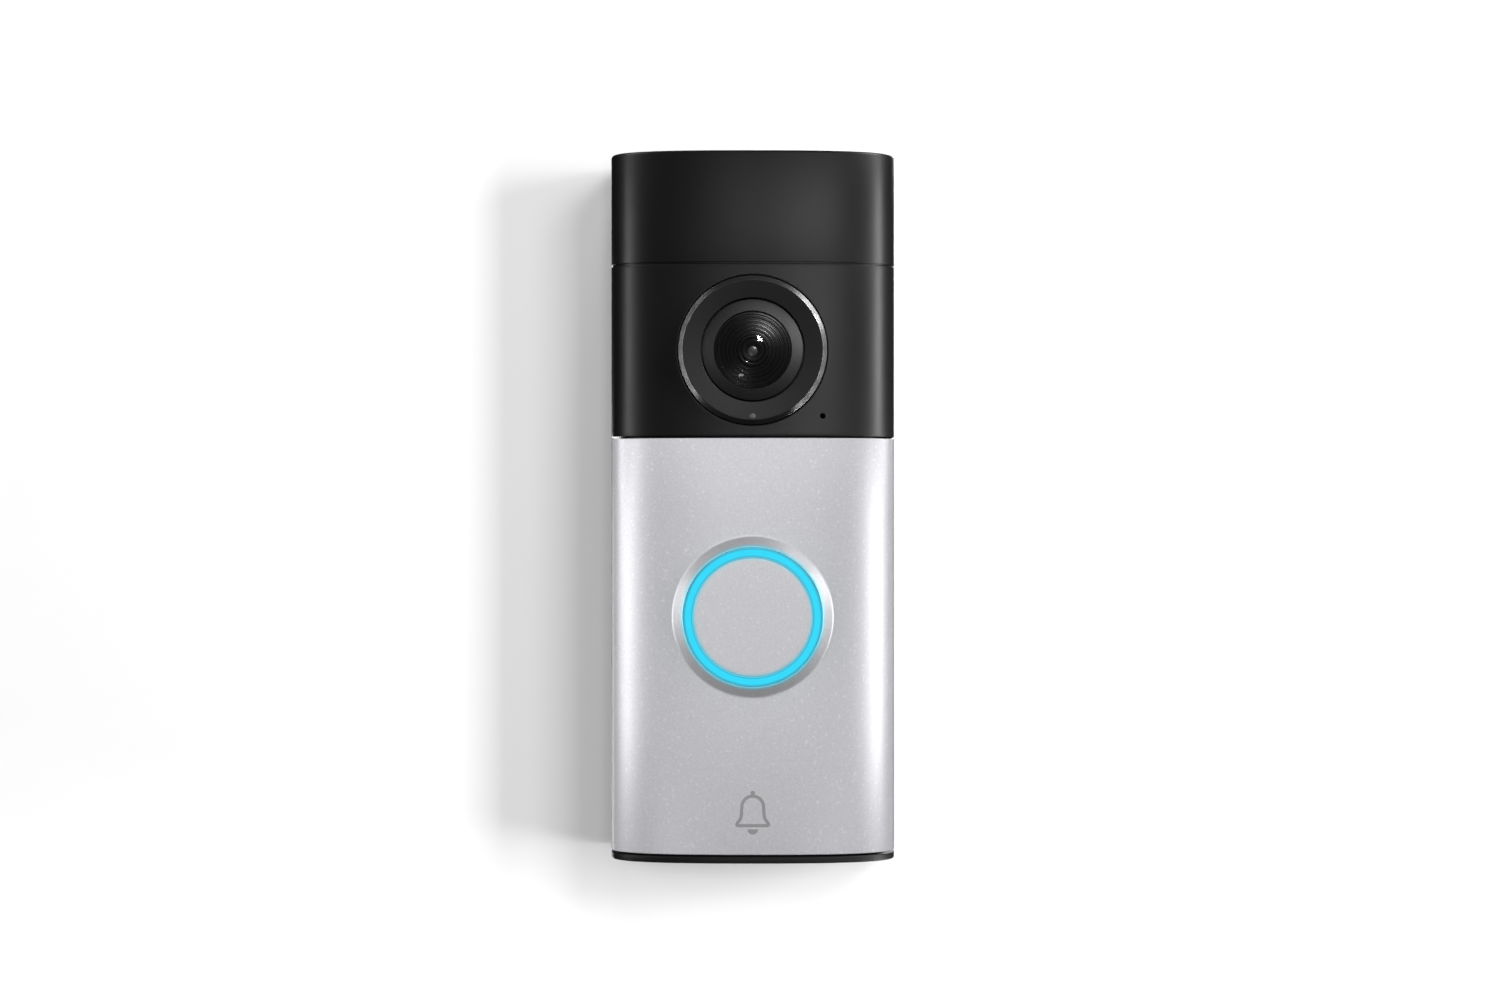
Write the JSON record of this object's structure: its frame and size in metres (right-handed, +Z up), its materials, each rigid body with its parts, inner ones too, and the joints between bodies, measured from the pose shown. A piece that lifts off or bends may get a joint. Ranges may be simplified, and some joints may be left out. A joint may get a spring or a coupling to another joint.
{
  "type": "video doorbell",
  "caption": "Slim wall-mounted wired video doorbell: round camera above, push button in a glowing ring below, removable silver faceplate, wire pocket behind.",
  "frame": {"origin": "middle of the back face, on the wall plane", "axes": "+Z up, -Y out of the wall towards the visitor, +X to the right of someone facing the doorbell"},
  "size_m": [0.0464, 0.0229, 0.115],
  "materials": {
    "satin_black": "satin black moulded plastic, fine spark-eroded grain",
    "housing_black": "black moulded plastic, fine texture",
    "lens_matte_black": "dead matt black, blasted against stray light",
    "silver_face": "satin silver, fine blasted sparkle",
    "silver_button": "satin silver, fine blasted sparkle",
    "lens_ring_grey": "satin dark grey, turned",
    "dome_glass": "clear polished dome",
    "coated_lens": "dark coated lens glass",
    "light_diffuser": "glowing bright cyan diffuser",
    "black_rubber": "matt black silicone rubber",
    "circuit_board": "green solder resist",
    "screw_steel": "zinc-plated steel",
    "tinned_steel": "tin-plated sheet steel",
    "terminal_brass": "plain stamped brass",
    "coil_copper": "enamelled copper winding",
    "spreader_aluminium": "plain rolled sheet",
    "thermal_pad_grey": "soft grey silicone pad",
    "ferrite_grey": "pressed ferrite powder",
    "capacitor_sleeve": "dark shrink sleeve",
    "sensor_chip": "cover glass over a sensor chip",
    "infrared_dark": "dark red infrared glass",
    "white_plastic": "white moulded plastic",
    "flex_film": "amber polyimide film",
    "cone_film": "pressed black film"
  },
  "bodies": {
    "housing": {"top_cap": "satin_black", "camera_panel": "satin_black", "camera_bezel": "satin_black", "rear_housing": "housing_black", "inner_front_cover": "housing_black", "terminal_block": "housing_black", "speaker_basket": "housing_black", "lens_hood": "lens_matte_black", "lens_barrel": "lens_matte_black", "lens_holder": "lens_matte_black", "lens_ring": "lens_ring_grey", "lens_window": "dome_glass", "front_lens": "coated_lens", "light_ring": "light_diffuser", "housing_gasket": "black_rubber", "bezel_gasket": "black_rubber", "button_seal": "black_rubber", "mic_boot": "black_rubber", "speaker_gasket": "black_rubber", "main_board": "circuit_board", "camera_board": "circuit_board", "ir_led_board": "circuit_board", "ring_led_board": "circuit_board", "motion_sensor_board": "circuit_board", "security_screw": "screw_steel", "terminal_screw_left": "screw_steel", "terminal_screw_right": "screw_steel", "housing_screw_upper_left": "screw_steel", "housing_screw_upper_right": "screw_steel", "housing_screw_lower_left": "screw_steel", "housing_screw_lower_right": "screw_steel", "rf_shield": "tinned_steel", "tactile_switch": "tinned_steel", "setup_switch": "tinned_steel", "microphone": "tinned_steel", "speaker_magnet": "tinned_steel", "terminal_plate_left": "terminal_brass", "terminal_plate_right": "terminal_brass", "wifi_antenna": "terminal_brass", "ir_cut_coil": "coil_copper", "heat_spreader": "spreader_aluminium", "thermal_pad": "thermal_pad_grey", "power_inductor": "ferrite_grey", "capacitor_left": "capacitor_sleeve", "capacitor_right": "capacitor_sleeve", "image_sensor": "sensor_chip", "ir_led_left": "infrared_dark", "ir_led_right": "infrared_dark", "button_carrier": "white_plastic", "board_connector": "white_plastic", "flex_socket": "white_plastic", "camera_flex": "flex_film", "speaker_cone": "cone_film"},
    "faceplate": {"faceplate": "silver_face", "faceplate_latch": "housing_black"},
    "button": {"button_cap": "silver_button", "switch_plunger": "white_plastic"},
    "setup_button": {"setup_button": "white_plastic"},
    "ir_cut_filter": {"ir_cut_frame": "lens_matte_black", "ir_cut_filter": "infrared_dark"}
  },
  "joints": [
    {"name": "faceplate_pull", "type": "slide", "parent": "housing", "child": "faceplate", "axis": [0, -1, 0], "range_m": [0, 0.025]},
    {"name": "button_press", "type": "slide", "parent": "housing", "child": "button", "axis": [0, 1, 0], "range_m": [0, 0.0006], "stiffness_N_per_m": 2500},
    {"name": "setup_button_press", "type": "slide", "parent": "housing", "child": "setup_button", "axis": [0, 1, 0], "range_m": [0, 0.0004], "stiffness_N_per_m": 2000},
    {"name": "ir_cut_slide", "type": "slide", "parent": "housing", "child": "ir_cut_filter", "axis": [-1, 0, 0], "range_m": [0, 0.0048]}
  ]
}
